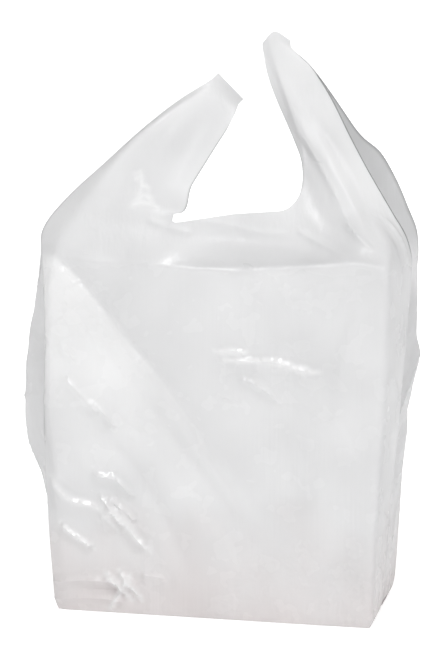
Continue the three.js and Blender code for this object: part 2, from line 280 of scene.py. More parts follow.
def weld_point(weld, fraction, lift):
    """A point on a weld's middle line, moved along the handle by lift."""
    line = np.array([(x, weld["y"], z) for x, z in weld["line"]], float)
    point = spline(line, [fraction])[0]
    along = line[-1] - line[0]
    up = np.array([-along[2], 0.0, along[0]]) if along[0] > 0 else np.array([along[2], 0.0, -along[0]])
    return point + lift * up / np.linalg.norm(up)


def column_step(i):
    """Spacing of the columns after a station: finest on the front."""
    names = (STATIONS[i][0], STATIONS[i + 1][0])
    if all("front" in name for name in names):
        return FRONT_STEP
    return BACK_STEP if all("back" in name for name in names) else SIDE_STEP


def columns():
    """Columns round the film: for each, the stations either side and the share between them."""
    result = []
    for i in range(len(STATIONS) - 1):
        length = STATIONS[i + 1][1] - STATIONS[i][1]
        steps = max(1, round(length / column_step(i)))
        result += [(i, k / steps) for k in range(steps)]
    return result


def column_places():
    """How far round the film each column is."""
    starts = [s[1] for s in STATIONS]
    return np.array([starts[i] + share * (starts[i + 1] - starts[i]) for i, share in COLUMNS] + [starts[-1]])


COLUMNS = columns()
COLUMN_COUNT = len(COLUMNS)
AROUND = column_places()
STATION_COLUMN = [COLUMNS.index((i, 0.0)) for i in range(len(STATIONS) - 1)] + [COLUMN_COUNT]
CREASE_COLUMNS = [column for column, (rail, _, _) in zip(STATION_COLUMN, STATIONS) if "crease" in rail]


def reaching(zone):
    """Indices of the stations whose rail has a stretch in a zone."""
    key = "web" if zone == "strap" else zone
    return [i for i, (rail, _, _) in enumerate(STATIONS) if key in RAILS[rail]]


def rail_points(stretches, zone, side):
    """A rail's points over a zone, from the end of its stretch in the zone below."""
    zone_below = {"crown": "body", "web": "crown", "strap": "web"}.get(zone)
    own = stretches.get(zone) or stretches[f"{side}_strap"]
    return stretches.get(zone_below, [])[-1:] + own


def station_line(i, zone, fractions, side=None):
    """One station's rail over a zone, as an array of points."""
    rail, _, offset = STATIONS[i]
    points = np.array(rail_points(RAILS[rail], zone, side), float)
    points[:, 1] += offset
    if zone == "strap":
        points = np.vstack([points, weld_end(i, side, -WELD_REACH)])
    return spline(points, fractions)


def weld_of(i):
    return WELDS["right" if 2 <= i <= 11 else "left"]


def weld_share(i):
    """How far across its weld a station's rail meets it. The creases run to its outer end."""
    rail = STATIONS[i][0]
    return RAILS[rail].get("weld", 1.0 if "crease" in rail else 0.0)


def weld_layer(i, side):
    """How far a station's layer sits from the middle of its weld, through the thickness."""
    rail, _, offset = STATIONS[i]
    outside = "mouth" in rail or "lean" in rail or ("crease" in rail and offset == 0)
    depth = 1.5 if outside else 0.5
    return (-depth if side == "front" else depth) * WELD_PITCH


def weld_end(i, side, lift):
    """Where a station's rail meets a weld."""
    point = weld_point(weld_of(i), weld_share(i), lift)
    point[1] += weld_layer(i, side)
    return point


def stretch_line(i, zone, fractions, side=None):
    """One station over any zone, the weld included."""
    if zone != "weld":
        return station_line(i, zone, fractions, side)
    start = weld_end(i, side, -WELD_REACH)
    end = weld_end(i, side, WELD_REACH)
    return start + np.asarray(fractions)[:, None] * (end - start)


def neighbours(column, zone):
    """The stations either side of a column among those that reach a zone, and the share between them."""
    stations = reaching("web" if zone in ("strap", "weld") else zone)
    before = max(i for i in stations if STATION_COLUMN[i] <= column)
    if STATION_COLUMN[before] == column:
        return before, before, 0.0
    after = min(i for i in stations if STATION_COLUMN[i] > column)
    span = STATION_COLUMN[after] - STATION_COLUMN[before]
    return before, after, (column - STATION_COLUMN[before]) / span


def weld_curl(before, after, share, zone, fractions):
    """How far a weld's curved line draws a strap out of the straight line between its edges."""
    ends = [weld_share(i) for i in (before, after)]
    weld = weld_of(before)
    chord = (1 - share) * weld_point(weld, ends[0], 0.0) + share * weld_point(weld, ends[1], 0.0)
    curl = weld_point(weld, (1 - share) * ends[0] + share * ends[1], 0.0) - chord
    weight = np.ones(len(fractions)) if zone == "weld" else np.asarray(fractions) ** 2
    return weight[:, None] * curl


def film_column(column, zone, fractions, side=None):
    """The points of one column over a zone."""
    before, after, share = neighbours(column, zone)
    line = stretch_line(before, zone, fractions, side)
    if share:
        line = (1 - share) * line + share * stretch_line(after, zone, fractions, side)
        if zone in ("strap", "weld"):
            line = line + weld_curl(before, after, share, zone, fractions)
    return line


def film_block(span, zone, fractions, side=None):
    """The points of a span of columns over a zone, in rows."""
    return np.stack([film_column(column, zone, fractions, side) for column in span], axis=1)


def steps(count):
    """Even steps up to 1, without the 0."""
    return np.linspace(0, 1, count + 1)[1:]


class Sheet:
    """The film's points, its four-sided cells, and the lines that stay crisp: creases and cut edges."""

    def __init__(self):
        self.blocks = []
        self.places = []
        self.count = 0
        self.cells = []
        self.crisp = []

    def add(self, points, around, up, strap=0.0, side=0.0):
        """Adds a grid of points and returns their indices.

        Each has a place on the film: how far round and how far up it is, its share of strap from 0 to 1, and
        the side its strap is on, -1 for the front and 1 for the back.
        """
        rows, count = points.shape[:2]
        place = np.empty((rows, count, 4))
        place[..., 0] = around
        place[..., 1] = np.reshape(up, (rows, 1))
        place[..., 2] = np.reshape(strap, (-1, 1))
        place[..., 3] = side
        start = self.count
        self.blocks.append(points.reshape(-1, 3))
        self.places.append(place.reshape(-1, 4))
        self.count += rows * count
        return np.arange(start, self.count).reshape(rows, count)

    def weave(self, grid):
        """Fills a grid of indices, rows upwards and columns anticlockwise from above, with cells."""
        corners = [grid[:-1, :-1], grid[:-1, 1:], grid[1:, 1:], grid[1:, :-1]]
        self.cells.append(np.stack(corners, axis=-1).reshape(-1, 4))

    def crisp_line(self, indices):
        self.crisp.append(np.stack([indices[:-1], indices[1:]], axis=-1))

    def points(self):
        return np.concatenate(self.blocks)


def tube(sheet):
    """The tube from the base to the mouth. Returns its grid of indices, closed round."""
    heights = np.concatenate([[0.0], np.linspace(TOE / S, 1.0, BODY_ROWS)])
    crown_steps = steps(CROWN_ROWS)
    every = range(COLUMN_COUNT)
    points = np.concatenate([film_block(every, "body", heights), film_block(every, "crown", crown_steps)])
    points[0, :, 0] *= (W - TOE) / W
    points[0, :, 1] *= (D - TOE) / D
    up = np.concatenate([heights * S, S + crown_steps * CROWN_LENGTH])
    grid = sheet.add(points, AROUND[:-1], up)
    closed = np.concatenate([grid, grid[:, :1]], axis=1)
    sheet.weave(closed)
    for column in CREASE_COLUMNS:
        sheet.crisp_line(closed[:, column])
    return closed


HANDLES = {
    "right": {"first": 2, "fold": 7, "last": 11, "sides": ("front", "back")},
    "left": {"first": 13, "fold": 17, "last": 22, "sides": ("back", "front")},
}


def handle(sheet, mouth, first, fold, last, sides):
    """A handle above the mouth: front and back straps, joined by the gusset as far as its web reaches.

    Returns the grids of points inside its weld, and the grid of its web.
    """
    first, fold, last = (STATION_COLUMN[i] for i in (first, fold, last))
    web_steps, strap_steps, weld_steps = steps(WEB_ROWS), steps(STRAP_ROWS), steps(WELD_ROWS)
    web = film_block(range(first, last + 1), "web", web_steps)
    around = AROUND[first:last + 1]
    web_up = S + CROWN_LENGTH + web_steps * WEB_LENGTH
    web_grid = np.concatenate([mouth[None, first:last + 1], sheet.add(web, around, web_up, web_steps)])
    sheet.weave(web_grid)
    strap_up = web_up[-1] + STRAP_LENGTH * np.concatenate([strap_steps, 1 + 0.06 * weld_steps])
    welded = []
    for side, span in zip(sides, (range(first, fold + 1), range(fold, last + 1))):
        strap = film_block(span, "strap", strap_steps, side)
        weld = film_block(span, "weld", weld_steps, side)
        upper = sheet.add(np.concatenate([strap, weld]), AROUND[span[0]:span[-1] + 1], strap_up, 1.0,
                          -1.0 if side == "front" else 1.0)
        grid = np.concatenate([web_grid[-1:, span[0] - first:span[-1] - first + 1], upper])
        sheet.weave(grid)
        welded.append(grid[-WELD_ROWS:])
        for k, column in enumerate(span):
            if column in CREASE_COLUMNS or column in (first, last):
                sheet.crisp_line(np.concatenate([web_grid[:, column - first], grid[1:, k]]))
            elif column == fold:
                sheet.crisp_line(grid[:, k])
    return welded, web_grid


def base(sheet, foot):
    """The base: front and back flaps that meet at the weld across the bottom."""
    ring = sheet.points()[foot[:-1]]
    inset = np.linspace(0, BASE_REACH, BASE_ROWS + 1)[1:]
    rows = np.repeat(ring[None], BASE_ROWS, axis=0)
    rows[:, :, 1] *= 1 - inset[:, None]
    rows[:, :, 2] = BASE_LIFT
    grid = sheet.add(rows, AROUND[:-1], -D * inset)
    grid = np.concatenate([foot[None, :-1], grid])
    grid = np.concatenate([grid, grid[:, :1]], axis=1)
    sheet.weave(grid[::-1])
    return grid[-1, :-1]


def smooth(points, edges, crisp, fixed):
    """Evens the sheet out. Points on crisp lines move along their lines only, and fixed ones stay."""
    on_line = np.zeros(len(points), bool)
    on_line[crisp] = True
    loose = edges[~on_line[edges[:, 0]] | ~on_line[edges[:, 1]]]
    pairs = np.concatenate([loose[~on_line[loose[:, 0]]], loose[~on_line[loose[:, 1]]][:, ::-1],
                            crisp, crisp[:, ::-1]])
    degree = np.bincount(pairs[:, 0], minlength=len(points)).clip(1)[:, None]
    moving = (degree[:, 0] > 1) & ~fixed
    for _ in range(SMOOTH_PASSES):
        total = np.stack([
            np.bincount(pairs[:, 0], points[pairs[:, 1], k], minlength=len(points)) for k in range(3)
        ], axis=1)
        points[moving] += 0.5 * (total / degree - points)[moving]
    return points


def film_sheet():
    """The smooth film, before its creases: points, cells, and what belongs to what."""
    sheet = Sheet()
    closed = tube(sheet)
    mouth = closed[-1]
    welded, webs = [], []
    for each in HANDLES.values():
        grids, web = handle(sheet, mouth, **each)
        welded += grids
        webs += [(each["first"], -1, web[:, 0]), (each["last"], 1, web[:, -1])]
    for left, right in ((0, 2), (11, 13)):
        sheet.crisp_line(mouth[STATION_COLUMN[left]:STATION_COLUMN[right] + 1])
    inner = base(sheet, closed[0])
    points = sheet.points()
    cells = np.concatenate(sheet.cells)
    sides = np.concatenate([cells[:, [k, (k + 1) % 4]] for k in range(4)])
    edges = np.unique(np.sort(sides, axis=1), axis=0)
    crisp = np.concatenate(sheet.crisp)
    fixed = np.zeros(len(points), bool)
    for grid in welded:
        fixed[grid] = True
    fixed[points[:, 2] < 0.01] = True
    round_mouth_corners(points, closed, webs)
    points = smooth(points, edges, crisp, fixed)
    edge = np.zeros(len(points), bool)
    edge[crisp] = True
    return {"points": points, "cells": cells, "fixed": fixed, "edge": edge, "inner": inner,
            "place": np.concatenate(sheet.places)}


# Painted shade: how dark the film is painted above the shoulder, in the right gusset, at each of CREASES and
# along the handles' cuts. Painted light: how much lighter it is painted on the front, partly for a second
# layer behind it, and above the shoulder on the right and left handles.
GUSSET_SHADE = 0.53
CREASE_SHADES = (1.0, 0.8, 0.7, 0.75)
CUT_SHADES = ((LEFT_CUT, 0.9), (LEFT_CUT + ROUND, 0.9), (RIGHT_CUT, 0.7))
PLEAT_LIGHT, RIGHT_HANDLE_LIGHT, LEFT_HANDLE_LIGHT = 0.95, 0.45, 0.3
GLINT_REACH = 3.2  # film this near a small sharp crease is painted lighter, as a painted glint
ON_LINE = 0.6  # film this near a pressed crease or a cut is on it

TONES = ("painted_shade", "white")
PLACE_NAMES = ("cosine", "sine", "up", "strap", "side", "fixed", "edge") + TONES


def painted_shade(sheet):
    """How dark the film is painted above the shoulder, as painted shade: in the right gusset, along creases
    and at cut edges.
    """
    around, up = sheet["place"][:, :2].T
    depth = GUSSET_SHADE * ramp(around, 190, 250) * (1 - ramp(around, 312, 318)) * ramp(up, S - 30, S + 20)
    for crease, grey in zip(CREASES, CREASE_SHADES):
        depth[np.abs(around - crease) < ON_LINE] = grey
    for cut, grey in CUT_SHADES:
        edge = np.abs(around - cut) < ON_LINE
        depth[edge] = grey * ramp(up[edge], S + CROWN_LENGTH, S + CROWN_LENGTH + 20)
    return depth * ramp(up, S - 30, S + 20) * (1 - ramp(up, STRAP_TOP - 30, STRAP_TOP - 12))


def white(sheet):
    """How much lighter the film is painted: on the front's upper left, partly for a second layer pleated in
    behind it and partly as painted light; as painted light on the handles; and as painted glints along small
    creases.
    """
    around, up = sheet["place"][:, :2].T
    spots = sheet["points"][:, [0, 2]]
    front = (around > FRONT_LEFT) | (around < FRONT_RIGHT)
    _, distance, _, above = nearest_on(fold_path(PLEAT_EDGE), spots)
    below = np.where(above, -distance, distance)
    inwards = ramp(spots[:, 0], -140, 20)
    # Partly a second layer pleated behind the front, partly painted light.
    pleat = ramp(below, -3, 5) * (1 - ramp(below, 18, 120 - 75 * inwards)) * (1 - inwards)
    pleat *= front * (1 - ramp(up, S, S + 12))
    # Painted light on the right and left handles above the shoulder.
    right = ramp(around, 92, 104) * (around < FRONT_RIGHT) * ramp(up, S + 5, S + 30)
    left = (around > FRONT_LEFT) * (1 - ramp(around, 815, 850)) * ramp(up, S, S + 20)
    level = np.maximum(PLEAT_LIGHT * pleat, RIGHT_HANDLE_LIGHT * right + LEFT_HANDLE_LIGHT * left)
    # Painted glints along the small sharp creases.
    for _, _, _, line in GLINT_CREASES:
        _, distance, _, _ = nearest_on(fold_path(line), spots)
        level = np.maximum(level, front * np.clip(1 - distance / GLINT_REACH, 0, 1))
    return level


def build_mesh(sheet):
    """The sheet as a mesh, closed under the base. Its points keep their place on the film."""
    mesh = bpy.data.meshes.new("bag_film")
    faces = [tuple(int(i) for i in cell) for cell in sheet["cells"]]
    inner = sheet["inner"]
    loop = [Vector(sheet["points"][i]) for i in inner]
    for triangle in geometry.tessellate_polygon([loop]):
        a, b, c = (loop[i] for i in triangle)
        downwards = (b - a).cross(c - a).z < 0
        faces.append(tuple(int(inner[i]) for i in (triangle if downwards else triangle[::-1])))
    mesh.from_pydata([tuple(p) for p in sheet["points"]], [], faces)
    mesh.validate()
    turn = sheet["place"][:, 0] * math.tau / ROUND
    columns = [np.cos(turn), np.sin(turn), sheet["place"][:, 1:], sheet["fixed"], sheet["edge"],
               painted_shade(sheet), white(sheet)]
    values = np.column_stack(columns).astype(np.float32)
    for name, column in zip(PLACE_NAMES, values.T):
        mesh.attributes.new(name, "FLOAT", "POINT").data.foreach_set("value", np.ascontiguousarray(column))
    return mesh


def read_mesh(mesh):
    """Points, normals and places on the film, as arrays."""
    count = len(mesh.vertices)
    points, normals = np.empty(count * 3), np.empty(count * 3)
    mesh.vertices.foreach_get("co", points)
    mesh.vertex_normals.foreach_get("vector", normals)
    place = {}
    for name in PLACE_NAMES:
        place[name] = np.empty(count)
        mesh.attributes[name].data.foreach_get("value", place[name])
    place["around"] = np.arctan2(place["sine"], place["cosine"]) % math.tau * ROUND / math.tau
    return points.reshape(-1, 3), normals.reshape(-1, 3), place


def write_points(mesh, points):
    mesh.vertices.foreach_set("co", points.ravel())
    mesh.update()


# ---------- folds and crumples

# Folds pressed or drawn into the film. A fold has a half-width, a height (below zero for a groove), and the
# line that it follows. A pair of half-widths is for the left of the line and the right of it, as it runs.
# Lines on the front and back are in X and Z, on the sides in Y and Z, and under the base in X and Y.

def crest(half_width, height, *line):
    """A fold with a sharp edge."""
    return half_width, height, "crest", line


def swell(half_width, height, *line):
    """A fold that is round."""
    return half_width, height, "swell", line


# The edge of the second layer that lies pleated in behind the front, from the upper left corner.
PLEAT_EDGE = [(-152, 320), (-120, 293), (-96, 267), (-72, 237), (-55, 219), (-34, 193), (-14, 166), (4, 134)]

# Small sharp creases, drawn as folds and painted lighter along their line as painted glints: low on the left,
# in the middle, in a star at the foot, and on the left handle. Those low on the left are steep above and
# gentle below.
GLINT_CREASES = [
    crest((6, 16), 3.8, (-144, 120), (-135, 109), (-125, 100), (-115, 98), (-100, 94), (-93, 86),
          (-84, 75)),
    crest((5.5, 11), 5.2, (-98, 84), (-89, 92), (-78, 83), (-66, 68), (-56, 58)),
    crest((5, 9), 4.6, (-134, 78), (-125, 71), (-116, 65), (-106, 58)),
    crest((3.4, 9), 2.3, (2, 233), (14, 234), (28, 233)),
    crest((4.4, 14), 3, (10, 226), (38, 226), (57, 225), (74, 220), (90, 218)),
    crest((5, 6), 4, (-96, 36), (-88, 30), (-80, 22), (-72, 13)),
    crest((5, 6), 3.8, (-84, 38), (-77, 31), (-70, 23), (-64, 14)),
    crest((5, 4), 3, (-74, 34), (-80, 24), (-86, 14), (-92, 4)),
    crest(2.4, 0.8, (-75, 378), (-69, 370), (-62, 366)),
    crest(2.4, 0.8, (-70, 380), (-68, 370), (-71, 360)),
    crest(2.6, 0.8, (-72, 355), (-63, 361), (-56, 351)),
    crest(2.4, 0.7, (-74, 352), (-64, 354), (-53, 350)),
]

FRONT_FOLDS = GLINT_CREASES + [
    # The shoulder, along the top front edge of the box-like part.
    crest(5, 0.8, (-152, 309), (-96, 304), (-60, 303), (-16, 302)),
    crest(5, 1.4, (-36, 302), (-10, 302), (15, 303), (71, 306), (108, 310), (145, 307)),
    # Long folds drawn down from the upper left corner: bands that face the light, with hollows between them.
    swell((11, 64), 3.4, (-154, 314), (-128, 286), (-104, 260), (-80, 230), (-63, 212), (-42, 186),
          (-22, 159), (6, 120), (34, 74)),
    crest((14, 4), -1.6, *PLEAT_EDGE),
    swell(8, -1.2, (-130, 270), (-108, 245), (-77, 206), (-55, 183), (-34, 155), (-5, 120), (24, 78)),
    swell((8, 14), 1.7, (-116, 222), (-94, 188), (-65, 156), (-39, 121), (-10, 86), (20, 36)),
    swell(9, -1.9, (-116, 172), (-102, 159), (-82, 141), (-65, 122), (-49, 96), (-34, 68), (-20, 34)),
    swell((8, 13), 1.2, (-36, 186), (-18, 156), (11, 119), (35, 86), (56, 50)),
    swell(8, -0.9, (-2, 92), (18, 62), (36, 26)),
    swell((7, 11), 1.2, (-60, 84), (-40, 52), (-22, 20)),
    crest((4.4, 9), 3.2, (-128, 208), (-122, 201), (-109, 187), (-98, 177)),
    crest((3.6, 7), 1.9, (-136, 235), (-128, 230), (-118, 221)),
    crest((3.8, 7), 2.7, (-106, 189), (-96, 180), (-84, 165)),
    # Where the left side bulges out past the crease.
    swell(4, 1, (-156, 185), (-138, 185), (-120, 183), (-91, 170)),
    # Crinkles low on the left, steep above and gentle below.
    crest((5, 12), 4.4, (-106, 124), (-97, 122), (-85, 120), (-76, 112), (-68, 104)),
    crest((4.5, 7), 4.2, (-100, 106), (-92, 97), (-84, 87), (-78, 78)),
    crest((4.5, 7), 4.2, (-93, 103), (-84, 98), (-76, 91), (-67, 83)),
    crest((4, 9), 2.2, (-64, 37), (-56, 36), (-48, 35), (-40, 32)),
    # Folds across the foot on the left, as far as the star.
    crest((6.5, 8), 4, (-156, 24), (-141, 26), (-111, 29), (-83, 28), (-62, 24)),
    crest((5.5, 6), 3.2, (-154, 10), (-138, 11), (-113, 13), (-91, 13), (-72, 10)),
    # Small creases in the middle and on the right, and long soft folds on the right.
    crest((4, 10), 2.8, (20, 212), (38, 205), (50, 197), (58, 189)),
    crest(2.6, 0.9, (-1, 195), (14, 193), (26, 190)),
    crest(2.6, 0.9, (-70, 239), (-61, 232), (-54, 226)),
    crest(2.4, 0.8, (82, 180), (93, 179), (104, 178)),
    swell(7, 0.8, (136, 296), (118, 258), (108, 214), (106, 160)),
    swell(6, -0.6, (128, 290), (104, 244), (92, 196)),
    # The crown: a diagonal hollow above the shoulder, and the creases that run into the mouth.
    swell(8, -1.8, (-14, 327), (15, 323), (48, 321), (83, 316), (112, 312)),
    crest(4, 1, (-62, 341), (-40, 334), (-22, 329)),
    crest(3.5, 0.9, (-20, 340), (8, 335), (34, 330), (58, 330)),
    crest(3, 1.2, (64, 333), (80, 326), (100, 318), (114, 312)),
    # The left handle.
    swell(10, 0.8, (-24, 436), (-46, 406), (-56, 386), (-66, 356)),
    swell(9, -0.8, (-8, 444), (-26, 420), (-36, 398), (-44, 367)),
    swell(6, -1, (-34, 430), (-66, 396), (-90, 360), (-104, 334)),
    swell(4, 0.4, (-6, 432), (-18, 410), (-28, 388), (-33, 370)),
    # The right handle.
    swell(7, -2.6, (50, 452), (64, 432), (88, 408), (107, 380), (122, 353), (141, 318)),
    crest(5, 2, (58, 422), (72, 402), (93, 369), (112, 337), (130, 320)),
    swell(5, 1.6, (44, 468), (57, 442), (74, 420), (88, 396), (100, 372)),
    crest(3, 1.3, (108, 340), (118, 330), (132, 320)),
    swell(5, -1.8, (62, 392), (70, 372), (82, 350), (100, 330)),
    crest(4, 1.2, (38, 474), (50, 444), (60, 418), (66, 396), (68, 376)),
]

RIGHT_FOLDS = [
    swell(6, -4, (-8, 250), (4, 210), (12, 170), (17, 131)),
    crest(4, 1.6, (-16, 262), (-6, 215), (6, 172), (14, 128)),
    crest(7, 4, (58, 232), (44, 190), (28, 154), (18, 126)),
    swell(6, -3, (62, 196), (50, 160), (36, 128), (30, 96)),
    crest(3, 1.2, (-52, 214), (-34, 206), (-18, 188)),
    crest(3, 1.1, (-44, 96), (-20, 84), (8, 80)),
    crest(4, 1.3, (52, 96), (34, 70), (26, 34)),
    crest(3, 1, (-56, 52), (-34, 40), (-12, 22)),
    crest(4, 1.6, (-20, 344), (-14, 326), (-4, 306), (10, 284)),
    swell(4, -1.6, (-30, 336), (-22, 312), (-12, 288)),
]

LEFT_FOLDS = [
    swell(7, -3, (-24, 262), (-18, 214), (-20, 160), (-30, 112)),
    crest(5, 2.2, (-50, 300), (-44, 262), (-40, 214), (-44, 166), (-50, 118)),
    crest(5, 1.6, (14, 288), (20, 236), (16, 172), (6, 110)),
    swell(6, -2, (44, 270), (42, 210), (44, 140)),
    crest(3, 1.2, (-58, 190), (-40, 182), (-20, 180), (4, 188)),
    crest(3, 1.2, (-60, 96), (-42, 84), (-16, 78), (10, 86)),
    crest(3, 1, (30, 96), (48, 70), (58, 34)),
    crest(3, 1, (-50, 60), (-26, 42), (-6, 18)),
]

BACK_FOLDS = [
    crest(5, 1.4, (-144, 306), (-72, 303), (0, 301), (72, 303), (150, 308)),
    swell(9, 1.8, (146, 308), (108, 262), (62, 204), (20, 142), (-24, 70)),
    swell(8, -1.2, (120, 250), (82, 206), (44, 150), (8, 92)),
    swell(9, 1.6, (-142, 300), (-112, 244), (-86, 184), (-72, 118), (-64, 50)),
    swell(8, -1.1, (-118, 262), (-94, 206), (-76, 150), (-60, 96)),
    crest(3, 1.1, (-40, 236), (-12, 242), (20, 236)),
    crest(3, 1.1, (60, 96), (86, 104), (112, 96), (136, 102)),
    crest(3, 1, (-136, 70), (-112, 56), (-84, 52), (-60, 40)),
    crest(3, 1, (-20, 186), (2, 172), (18, 150)),
    crest(3, 0.9, (86, 28), (104, 20), (128, 22)),
    swell(6, 1.8, (96, 400), (112, 368), (128, 336), (140, 306)),
    swell(6, -1.8, (78, 404), (92, 366), (104, 330)),
    swell(6, 1.8, (-60, 400), (-84, 368), (-108, 340), (-128, 306)),
    swell(6, -1.6, (-40, 396), (-60, 366), (-84, 336)),
    crest(4, 1.4, (-52, 318), (-10, 311), (30, 311), (66, 318)),
]

# Under the base, the gussets' folds run in from its corners.
BASE_FOLDS = [crest(2.5, 0.7, (x * (W - 2), y * (D - 2)), (x * (W - D), 0))
              for x in (-1, 1) for y in (-1, 1)]


def nearest_on(path, spots):
    """The nearest points of a path to some spots, how far off and how far along it they are, and the side.

    The side is true for spots that are left of the path, as it runs.
    """
    distance = np.full(len(spots), np.inf)
    point = np.zeros((len(spots), 2))
    along = np.zeros(len(spots))
    left = np.zeros(len(spots), bool)
    for k, (a, b) in enumerate(zip(path[:-1], path[1:])):
        run = b - a
        share = np.clip(((spots - a) @ run) / (run @ run), 0, 1)
        foot = a + share[:, None] * run
        gap = np.linalg.norm(spots - foot, axis=1)
        closer = gap < distance
        distance[closer] = gap[closer]
        point[closer] = foot[closer]
        along[closer] = (k + share[closer]) / (len(path) - 1)
        left[closer] = (run[0] * (spots - a)[:, 1] - run[1] * (spots - a)[:, 0])[closer] > 0
    return point, distance, along, left


def fold_path(line):
    return spline(line, np.linspace(0, 1, 5 * len(line) - 4))


def crest_distance(spots, folds):
    """How far some spots are from the nearest sharp crest, and the way to it."""
    closest = np.full(len(spots), np.inf)
    way = np.zeros_like(spots)
    for _, _, kind, line in folds:
        if kind == "crest":
            point, distance, _, _ = nearest_on(fold_path(line), spots)
            closer = distance < closest
            closest[closer] = distance[closer]
            way[closer] = (point - spots)[closer]
    return closest, way


def refine(mesh):
    """Splits the mesh's edges near the sharp crests, so that it is twice as fine there."""
    points, normals, place = read_mesh(mesh)
    weights = facings(points, normals, place)
    near = np.zeros(len(points), bool)
    for name, (axes, folds) in FOLDS.items():
        faced = np.flatnonzero(weights[name] > 0.2)
        closest, _ = crest_distance(points[faced][:, axes], folds)
        near[faced[closest < FINE_REACH]] = True
    shape = bmesh.new()
    shape.from_mesh(mesh)
    shape.verts.ensure_lookup_table()
    chosen = [edge for edge in shape.edges if near[edge.verts[0].index] and near[edge.verts[1].index]]
    bmesh.ops.subdivide_edges(shape, edges=chosen, cuts=1, use_grid_fill=True)
    shape.to_mesh(mesh)
    shape.free()
    mesh.update()


def add_folds(relief, spots, weight, folds):
    """Adds a group of folds to the relief where its weight isn't zero. Each tapers away at its ends."""
    near = np.flatnonzero(weight > 0)
    for half_width, height, kind, line in folds:
        _, distance, along, left = nearest_on(fold_path(line), spots[near])
        taper = np.clip((9 if kind == "crest" else 5) * along * (1 - along), 0, 1)
        if isinstance(half_width, tuple):
            half_width = np.where(left, *half_width)
        share = distance / half_width
        profile = np.clip(1 - share, 0, 1) if kind == "crest" else np.exp(-1.6 * share**2)
        relief[near] += weight[near] * height * taper * profile


def ramp(values, low, high):
    """Rises smoothly from 0 to 1 as values go from low to high."""
    share = np.clip((values - low) / (high - low), 0, 1)
    return share * share * (3 - 2 * share)


CRUMPLES = ((58.0, 1.5), (25.0, 0.62), (11.5, 0.24))  # the spacing and height of each size of crumple
FIELD_LOW, FIELD_HIGH = -80.0, 520.0


def crumple_field(spacing):
    """A sheet folded along straight creases between scattered peaks, repeating round the bag."""
    across = round(ROUND / spacing)
    rows = round((FIELD_HIGH - FIELD_LOW) / spacing)
    place = np.stack(np.meshgrid(np.arange(across), np.arange(rows)), axis=-1).reshape(-1, 2) + 0.5
    place = (place + RANDOM.uniform(-0.42, 0.42, place.shape)) * (ROUND / across)
    lift = RANDOM.normal(size=len(place))
    lift = np.sign(lift) * np.abs(lift) ** 1.6
    margin = 3 * spacing
    right, left = place[:, 0] < margin, place[:, 0] > ROUND - margin
    place = np.concatenate([place, place[right] + (ROUND, 0), place[left] - (ROUND, 0)])
    place[:, 1] += FIELD_LOW
    lift = np.concatenate([lift, lift[right], lift[left]])
    flat = [Vector(p) for p in place]
    _, _, triangles, origins, _, _ = geometry.delaunay_2d_cdt(flat, [], [], 0, 1e-6)
    peaks = [(*place[origin[0]], lift[origin[0]]) for origin in origins]
    return BVHTree.FromPolygons(peaks, triangles)


def field_height(field, spots):
    """The height of a crumple field at some spots."""
    down = Vector((0, 0, -1))
    heights = np.zeros(len(spots))
    for k, (x, y) in enumerate(spots):
        hit = field.ray_cast(Vector((x, y, 50)), down)[0]
        if hit:
            heights[k] = hit.z
    return heights


def crumple(points, place):
    """Crumpled relief all over the film, the same on both layers of a strap."""
    strap = place["strap"]
    on_tube = np.stack([place["around"] % ROUND, place["up"]], axis=1)
    strap_around = (points[:, 0] + RIGHT_MIDDLE + BACK_MIDDLE * (place["side"] > 0)) % ROUND
    on_strap = np.stack([strap_around, points[:, 2]], axis=1)
    relief = np.zeros(len(points))
    for spacing, height in CRUMPLES:
        field = crumple_field(spacing)
        tube_part, strap_part = strap < 1, strap > 0
        relief[tube_part] += height * (1 - strap[tube_part]) * field_height(field, on_tube[tube_part])
        relief[strap_part] += height * strap[strap_part] * field_height(field, on_strap[strap_part])
    return relief


def crease_distance(place):
    """How far each point is round the film from the nearest of its four pressed creases."""
    return np.min([np.abs(place["around"] - crease) for crease in CREASES], axis=0)


def crumple_weight(points, place):
    """How strongly each part of the film is crumpled."""
    around, strap = place["around"], place["strap"]
    x, _, z = points.T
    front = 1 - ramp(np.abs((around + BACK_MIDDLE) % ROUND - BACK_MIDDLE), 150, 175)
    back = 1 - ramp(np.abs(around - BACK_MIDDLE), 150, 175)
    crown = ramp(place["up"], S - 2, S + 14)
    low_left = ramp(-x, 40, 100) * (1 - ramp(z, 90, 150))
    body = 0.5 - 0.2 * front + 0.1 * back + 0.2 * front * low_left - 0.25 * ramp(x, 120, 140)
    weight = body * (1 - crown) + 0.08 * crown
    weight = weight * (0.25 + 0.75 * ramp(crease_distance(place), 0, 9)) * ramp(z, 0, 14)
    return weight * (1 + 0.5 * strap)


def strap_side(place):
    """-1 on the front half of the film, 1 on the back half, turning over at the middle of each gusset."""
    around, side = place["around"], place["side"]
    on_right = np.clip((around - RIGHT_MIDDLE) / 12, -1, 1)
    on_left = np.clip((LEFT_MIDDLE - around) / 12, -1, 1)
    return np.where(side != 0, side, np.where(around < BACK_MIDDLE, on_right, on_left))


def facings(points, normals, place):
    """How far each point of the film faces the front, back, right and left, for its folds."""
    strap, side = place["strap"], strap_side(place)
    x, _, z = points.T
    clear = ramp(z, 0, 5) * ramp(crease_distance(place), 0, 8)
    return {
        "front": np.maximum(ramp(-normals[:, 1], 0.05, 0.35), strap) * (side < 0) * clear,
        "back": np.maximum(ramp(normals[:, 1], 0.05, 0.35), strap) * (side > 0) * clear,
        "right": ramp(normals[:, 0], 0.25, 0.6) * (x > 90) * (1 - strap) * clear,
        "left": ramp(-normals[:, 0], 0.25, 0.6) * (x < -90) * (1 - strap) * clear,
        "under": (normals[:, 2] < -0.9) * (z < 1) * 1.0,
    }


FOLDS = {"front": ([0, 2], FRONT_FOLDS), "back": ([0, 2], BACK_FOLDS), "right": ([1, 2], RIGHT_FOLDS),
         "left": ([1, 2], LEFT_FOLDS), "under": ([0, 1], BASE_FOLDS)}


